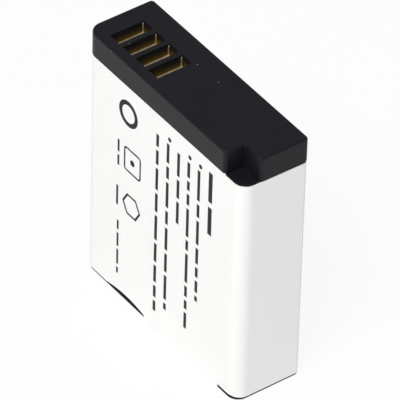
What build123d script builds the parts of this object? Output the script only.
"""A flat rechargeable camera battery: moulded case and cap, wrap label, four contacts, board and two cells.

The pack stands on its base. X runs along the width, Y from the printed front face (low Y) to the rear
face, Z up. The origin is the middle of the base. All sizes are in millimetres.
"""
import os

from build123d import *

# Outside of the pack
body_width = 35.5
body_depth = 10.9
body_height = 42.0
front_corner = 2.0
rear_corner = 0.6
least_corner = 0.15

# Wrap label
label_inset = 0.05
label_thickness = 0.12
label_rim = 0.46
label_floor_gap = 0.05
label_seam_gap = 0.1
label_seam_from_side = 5.75
arch_from_side = 10.0
arch_top = 1.06
arch_radius = 18.0
flap_from_left = 14.25
flap_from_right = 4.15
corner_rim = 0.7
corner_turn = 1.55
side_rim_front = 0.45
side_rim_rear = 0.41
label_dip_front = 0.2
label_dip_rear = 0.37

# Moulded case and cap
wall = 0.65
floor_thickness = 0.8
base_edge = 0.1
cap_height = 3.85
cap_edge = 0.35
cap_roof = 1.2
neck_height = 1.0
tongue_length = 1.2
tongue_thickness = 0.58
tongue_clearance = 0.05

# Corner notch in the cap
notch_width = 3.88
notch_depth = 2.95
notch_skew = 0.2
notch_wall = 0.8
notch_front_edge = 0.55
notch_side_edge = 0.45
notch_inner_corner = 0.1

# Contact slots, counted from the left side
slot_count = 4
slot_pitch = 2.95
slot_from_side = 3.2
slot_from_front = 1.55
slot_width = 2.15
slot_length = 5.65
slot_floor_depth = 2.25
slot_margin = 0.8

# Folded contacts and the spring sleeves behind them
contact_sheet = 0.36
contact_clearance = 0.03
contact_bend = 0.25
blade_depth = 1.7
post_recess = 0.1
post_width = 0.2
post_length = 0.12
post_from_sleeve = 0.1
sleeve_thickness = 0.1
sleeve_depth = 0.5
tail_width = 0.6
tail_thickness = 0.3
tail_from_rear = 1.0
tail_reach = 0.3

# Board and the parts under it, placed by distance from the board's right end and share of its half depth
board_thickness = 0.8
board_clearance = 0.1
board_corner = 0.7
hole_clearance = 0.05
stake_radius = 0.6
stake_from_slots = 1.6
stake_from_end = 1.7
stake_share = -0.72
chip_size = (2.9, 1.6, 1.0)
chip_places = [(8.2, -0.51)]
transistor_size = (4.4, 3.0, 0.9)
transistor_places = [(9.4, 0.46)]
small_part_size = (1.6, 0.8, 0.45)
resistor_places = [(4.9, 0.05), (4.9, 0.36), (4.9, 0.67)]
capacitor_places = [(2.3, 0.49), (2.3, 0.77)]
thermistor_places = [(1.7, -0.62)]

# Cells
cell_end_clearance = 0.28
cell_face_clearance = 0.15
cell_side_share = 0.45
cell_edge = 0.3
terminal_room = 1.7
tape_thickness = 0.15
tape_margin = 1.5
foam_thickness = 0.5
foam_margin = 0.7
gasket_length = 5.0
gasket_share = 0.67
gasket_thickness = 0.25
rivet_length = 3.4
rivet_share = 0.45
rivet_height = 0.4

# Nickel strips and the card under them
strip_thickness = 0.15
strip_share = 0.54
strip_flange = 2.5
weld_length = 3.5
positive_riser_from_side = 8.25
negative_riser_from_middle = 4.0
link_riser_from_board_end = 5.5
card_thickness = 0.25
card_margin = 0.3
card_clearance = 0.2

# Heights and insets that follow from the above
cap_base = body_height - cap_height
seam = cap_base - neck_height
tongue_end = seam - tongue_length
case_inset = label_inset + label_thickness
inside_inset = case_inset + wall
tongue_inset = inside_inset + tongue_clearance
cavity_inset = tongue_inset + tongue_thickness
half_width = body_width / 2
half_depth = body_depth / 2
notch_left = half_width - notch_width
notch_rear = -half_depth + notch_depth
slot_lefts = [-half_width + slot_from_side + index * slot_pitch for index in range(slot_count)]
slot_front = -half_depth + slot_from_front
slot_rear = slot_front + slot_length
sleeve_room = 2 * contact_clearance + sleeve_thickness
tail_y = slot_rear - tail_from_rear
arch_x = -half_width + arch_from_side
flap_left = -half_width + flap_from_left
flap_right = half_width - flap_from_right
label_seam_x = -half_width + label_seam_from_side
board_top = body_height - slot_floor_depth - contact_sheet
board_bottom = board_top - board_thickness
board_left = -half_width + cavity_inset + board_clearance
board_right = notch_left - notch_wall - board_clearance
board_half_depth = half_depth - cavity_inset - board_clearance
slots_end = slot_lefts[-1] + slot_width + slot_margin
stake_points = [
    (slots_end + stake_from_slots, stake_share * board_half_depth),
    (board_right - stake_from_end, 0.0),
]
cell_width = body_width - 2 * (inside_inset + cell_end_clearance)
cell_thickness = half_depth - inside_inset - cell_face_clearance - tape_thickness / 2
cell_side_radius = cell_side_share * cell_thickness
cell_bottom = floor_thickness + foam_thickness
cell_top = tongue_end - terminal_room
cell_height = cell_top - cell_bottom
cell_y = (tape_thickness + cell_thickness) / 2
gasket_size = (gasket_length, gasket_share * cell_thickness, gasket_thickness)
rivet_size = (rivet_length, rivet_share * cell_thickness, rivet_height)
rivet_top = cell_top + gasket_thickness + rivet_height
strip_width = strip_share * cell_thickness
positive_riser_x = -half_width + positive_riser_from_side
negative_riser_x = -negative_riser_from_middle
link_riser_x = board_right - link_riser_from_board_end


def plan(inset):
    """Outline of the pack from above, moved inwards by inset."""
    outline = Rectangle(body_width - 2 * inset, body_depth - 2 * inset)
    outline = fillet(outline.vertices().group_by(Axis.Y)[0], front_corner - inset)
    return fillet(outline.vertices().group_by(Axis.Y)[-1], max(rear_corner - inset, least_corner))


def slab(inset, low, high):
    """The outline drawn upwards from one height to another."""
    return Pos(0, 0, low) * extrude(plan(inset), amount=high - low)


def block(x_low, x_high, y_low, y_high, z_low, z_high):
    """A box between six limits."""
    size = (x_high - x_low, y_high - y_low, z_high - z_low)
    return Pos(x_low, y_low, z_low) * Box(*size, align=(Align.MIN, Align.MIN, Align.MIN))


def standing_edges(shape, x, y, reach=0.05):
    """Upright edges of a shape that stand at one place in plan."""
    upright = shape.edges().filter_by(Axis.Z)
    near_x = upright.filter_by(lambda edge: abs(edge.center().X - x) < reach)
    return near_x.filter_by(lambda edge: abs(edge.center().Y - y) < reach)


def level_edges(shape, x, z, reach=0.05):
    """Edges of a shape that run along Y at one place in the section across it."""
    along = shape.edges().filter_by(Axis.Y)
    near_x = along.filter_by(lambda edge: abs(edge.center().X - x) < reach)
    return near_x.filter_by(lambda edge: abs(edge.center().Z - z) < reach)


def on_board(places):
    """Points in plan for places given from the board's right end and as shares of its half depth."""
    return [(board_right - from_end, share * board_half_depth) for from_end, share in places]


def case_tub():
    """Lower case, open at the top, with a rounded base edge."""
    tub = slab(case_inset, 0, seam)
    tub = fillet(tub.faces().sort_by(Axis.Z)[0].edges(), base_edge)
    return tub - slab(inside_inset, floor_thickness, seam)


def cap_cavity():
    """Room inside the cap for the board, kept off the slots and the corner notch."""
    room = slab(cavity_inset, tongue_end, body_height - cap_roof)
    room -= block(-half_width, slots_end, -half_depth, half_depth, board_top, body_height)
    jacket_left = notch_left - notch_wall
    jacket_rear = notch_rear + notch_skew + notch_wall
    return room - block(jacket_left, half_width, -half_depth, jacket_rear, tongue_end, body_height)


def corner_notch():
    """Keyed corner that is cut from the cap, with its two walls turned a little."""
    corner = Polygon(
        (notch_left, -half_depth),
        (half_width, -half_depth),
        (half_width, notch_rear),
        (notch_left + notch_skew, notch_rear + notch_skew),
        align=None,
    )
    return Pos(0, 0, cap_base) * extrude(corner, amount=cap_height)


def top_cap():
    """Cap with its corner notch, its step under the label, its tongue and the four slots."""
    cap = slab(0, cap_base, body_height) - corner_notch()
    cap = fillet(standing_edges(cap, notch_left + notch_skew, notch_rear + notch_skew), notch_inner_corner)
    cap = fillet(standing_edges(cap, notch_left, -half_depth), notch_front_edge)
    cap = fillet(standing_edges(cap, half_width, notch_rear), notch_side_edge)
    cap = fillet(cap.faces().sort_by(Axis.Z)[-1].edges(), cap_edge)
    cap += slab(case_inset, seam, cap_base)
    cap += slab(tongue_inset, tongue_end, seam)
    cap -= cap_cavity()
    for left in slot_lefts:
        cap -= block(left, left + slot_width, slot_front, slot_rear, board_top, body_height)
    length = body_height - cap_roof - board_bottom + tail_reach
    for x, y in stake_points:
        cap += Pos(x, y, body_height - cap_roof - length / 2) * Cylinder(stake_radius, length)
    return cap


def with_lower_edge(ring):
    """Cuts the label's lower edge: a low rim, an arch left of the front flap and a raised front corner."""
    far = body_depth
    front_end = -half_depth + front_corner
    side_start = half_width - rear_corner
    ring -= block(-half_width, flap_left, -far, far, 0, label_rim)
    ring -= block(flap_left, side_start, front_end, far, 0, label_rim)
    arch = Rot(90, 0, 0) * Cylinder(arch_radius, front_corner)
    arch = Pos(arch_x, -half_depth, arch_top - arch_radius) * arch
    ring -= arch - block(flap_left, half_width, -far, far, 0, arch_top)
    corner_cut = Polygon(
        (flap_right, 0),
        (half_width, 0),
        (half_width, side_rim_front),
        (half_width - corner_turn, corner_rim),
        (flap_right, corner_rim),
        align=None,
    )
    ring -= Pos(0, front_end, 0) * extrude(Plane.XZ * corner_cut, amount=front_corner)
    side_cut = Polygon(
        (front_end, 0),
        (half_depth, 0),
        (half_depth, side_rim_rear),
        (front_end, side_rim_front),
        align=None,
    )
    return ring - Pos(side_start, 0, 0) * extrude(Plane.YZ * side_cut, amount=rear_corner)


def with_upper_edge(ring):
    """Cuts the label's upper edge, which dips below the cap at the right side and towards it on the rear."""
    side_dip = Polygon(
        (-half_depth, cap_base - label_dip_front),
        (half_depth - rear_corner, cap_base - label_dip_rear),
        (half_depth - rear_corner, cap_base),
        (-half_depth, cap_base),
        align=None,
    )
    ring -= Pos(notch_left, 0, 0) * extrude(Plane.YZ * side_dip, amount=notch_width)
    rear_dip = Polygon(
        (label_seam_x, cap_base),
        (half_width, cap_base - label_dip_rear),
        (half_width, cap_base),
        align=None,
    )
    return ring - Pos(0, half_depth, 0) * extrude(Plane.XZ * rear_dip, amount=rear_corner)


def wrap_label():
    """Film round the case and the cap step, with uneven edges, as it was cut and stuck by hand."""
    ring = slab(label_inset, label_floor_gap, cap_base) - slab(case_inset, label_floor_gap, cap_base)
    ring = with_upper_edge(with_lower_edge(ring))
    seam_left = label_seam_x - label_seam_gap / 2
    return ring - block(seam_left, seam_left + label_seam_gap, 0, body_depth, 0, body_height)


def contact(left):
    """Folded sheet in one slot: foot on the board, low blade along the left wall, post at the rear, tail."""
    x_low = left + sleeve_room
    x_high = left + slot_width - contact_clearance
    x_blade = x_low + contact_sheet
    y_low = slot_front + contact_clearance
    y_high = slot_rear - sleeve_room
    y_post = y_high - post_from_sleeve
    x_post = x_low + post_width
    z_foot = board_top + contact_sheet
    sheet = block(x_low, x_high, y_low, y_high, board_top, z_foot)
    sheet += block(x_low, x_blade, y_low, y_high, board_top, body_height - blade_depth)
    sheet += block(x_low, x_post, y_post - post_length, y_post, board_top, body_height - post_recess)
    sheet = fillet(level_edges(sheet, x_blade, z_foot), contact_bend)
    sheet = fillet(level_edges(sheet, x_low, board_top), contact_bend)
    return sheet + tail(left + slot_width / 2, board_bottom - tail_reach, 0)


def contact_sleeve(left):
    """Thin spring sheet on the left and rear walls of one slot, standing on the board."""
    x_low = left + contact_clearance
    x_high = left + slot_width - contact_clearance
    y_low = slot_front + contact_clearance
    y_high = slot_rear - contact_clearance
    top = body_height - sleeve_depth
    side = block(x_low, x_low + sleeve_thickness, y_low, y_high, board_top, top)
    return side + block(x_low, x_high, y_high - sleeve_thickness, y_high, board_top, top)


def tail(x, low, clearance):
    """A contact's tail, or with a clearance the hole for it."""
    across = tail_thickness / 2 + clearance
    along = tail_width / 2 + clearance
    return block(x - across, x + across, tail_y - along, tail_y + along, low, board_top)


def protection_board():
    """Board that lies against the slot block, with holes for the contact tails and the cap's two stakes."""
    board = block(board_left, board_right, -board_half_depth, board_half_depth, board_bottom, board_top)
    board = fillet(board.edges().filter_by(Axis.Z), board_corner)
    for slot in slot_lefts:
        board -= tail(slot + slot_width / 2, board_bottom, hole_clearance)
    for x, y in stake_points:
        board -= Pos(x, y, board_top) * Cylinder(stake_radius + hole_clearance, 3 * board_thickness)
    return board


def under_board(size, places):
    """Small parts soldered to the underside of the board."""
    middle = board_bottom - size[2] / 2
    return Compound([Pos(x, y, middle) * Box(*size) for x, y in on_board(places)])


def cell(y):
    """A sealed flat cell in its can."""
    can = Pos(0, y, cell_bottom + cell_height / 2) * Box(cell_width, cell_thickness, cell_height)
    can = fillet(can.edges().filter_by(Axis.Z), cell_side_radius)
    ends = can.faces().filter_by(Axis.Z)
    return chamfer(ends.edges(), cell_edge)


def on_cells(size, low):
    """The same flat block in the middle of both cell tops."""
    return Compound([Pos(0, y, low + size[2] / 2) * Box(*size) for y in (-cell_y, cell_y)])


def riser(x, y, low):
    """The upright end of a strip, turned over at the board."""
    half = strip_width / 2
    upright = block(x - strip_thickness, x, y - half, y + half, low, board_bottom)
    top = board_bottom - strip_thickness
    return upright + block(x - strip_thickness, x + strip_flange, y - half, y + half, top, board_bottom)


def strip(x_low, x_high, y, low):
    """A level run of strip along X."""
    half = strip_width / 2
    return block(x_low, x_high, y - half, y + half, low, low + strip_thickness)


def positive_tab():
    """Strip from the front cell's can to the board."""
    foot = strip(positive_riser_x - weld_length, positive_riser_x, -cell_y, cell_top)
    return foot + riser(positive_riser_x, -cell_y, cell_top)


def negative_tab():
    """Strip from the rear cell's rivet to the board."""
    foot = strip(negative_riser_x - strip_thickness, rivet_length / 2, cell_y, rivet_top)
    return foot + riser(negative_riser_x, cell_y, rivet_top)


def series_link():
    """Strip from the front cell's rivet to the rear cell's can, with a leg up to the board."""
    link = strip(-rivet_length / 2, link_riser_x, -cell_y, rivet_top)
    link += riser(link_riser_x, -cell_y, rivet_top)
    left = link_riser_x - strip_width
    step = cell_y - strip_width / 2
    high = rivet_top + strip_thickness
    link += block(left, link_riser_x, -cell_y, step, rivet_top, high)
    link += block(left, link_riser_x, step - strip_thickness, step, cell_top, high)
    return link + strip(left, link_riser_x, cell_y, cell_top)


def insulating_card():
    """Card over the cell tops, cut away at the terminals and the welds."""
    half_card = cell_y + cell_thickness / 2 - card_margin
    end = cell_width / 2 - card_margin
    high = cell_top + card_thickness
    card = block(-end, end, -half_card, half_card, cell_top, high)
    across = strip_width / 2 + card_clearance
    weld_left = positive_riser_x - weld_length - card_clearance
    windows = [
        (weld_left, positive_riser_x + card_clearance, -cell_y),
        (link_riser_x - strip_width - card_clearance, link_riser_x + card_clearance, cell_y),
    ]
    for x_low, x_high, y in windows:
        card -= block(x_low, x_high, y - across, y + across, cell_top, high)
    around = gasket_length / 2 + card_clearance
    deep = gasket_size[1] / 2 + card_clearance
    for y in (-cell_y, cell_y):
        card -= block(-around, around, y - deep, y + deep, cell_top, high)
    return card


def cell_tape():
    """Tape between the two cells."""
    end = cell_width / 2 - tape_margin
    half = tape_thickness / 2
    return block(-end, end, -half, half, cell_bottom + tape_margin, cell_top - tape_margin)


def base_foam():
    """Pad under the cells."""
    end = half_width - inside_inset - foam_margin
    deep = half_depth - inside_inset - foam_margin
    return block(-end, end, -deep, deep, floor_thickness, cell_bottom)


pieces = {
    "case_tub": case_tub(),
    "top_cap": top_cap(),
    "wrap_label": wrap_label(),
    "positive_contact": contact(slot_lefts[0]),
    "temperature_contact": contact(slot_lefts[1]),
    "data_contact": contact(slot_lefts[2]),
    "negative_contact": contact(slot_lefts[3]),
    "contact_sleeves": Compound([contact_sleeve(left) for left in slot_lefts]),
    "protection_board": protection_board(),
    "protection_chip": under_board(chip_size, chip_places),
    "switching_transistor": under_board(transistor_size, transistor_places),
    "chip_resistors": under_board(small_part_size, resistor_places),
    "chip_capacitors": under_board(small_part_size, capacitor_places),
    "thermistor": under_board(small_part_size, thermistor_places),
    "front_cell": cell(-cell_y),
    "rear_cell": cell(cell_y),
    "rivet_gaskets": on_cells(gasket_size, cell_top),
    "cell_rivets": on_cells(rivet_size, cell_top + gasket_thickness),
    "positive_tab": positive_tab(),
    "negative_tab": negative_tab(),
    "series_link": series_link(),
    "cell_tape": cell_tape(),
    "base_foam": base_foam(),
    "insulating_card": insulating_card(),
}

os.makedirs("parts", exist_ok=True)
for name, shape in pieces.items():
    export_step(shape, f"parts/{name}.step")
    size = shape.bounding_box().size
    print(f"{name}: {size.X:.2f} x {size.Y:.2f} x {size.Z:.2f} mm, valid {shape.is_valid}")
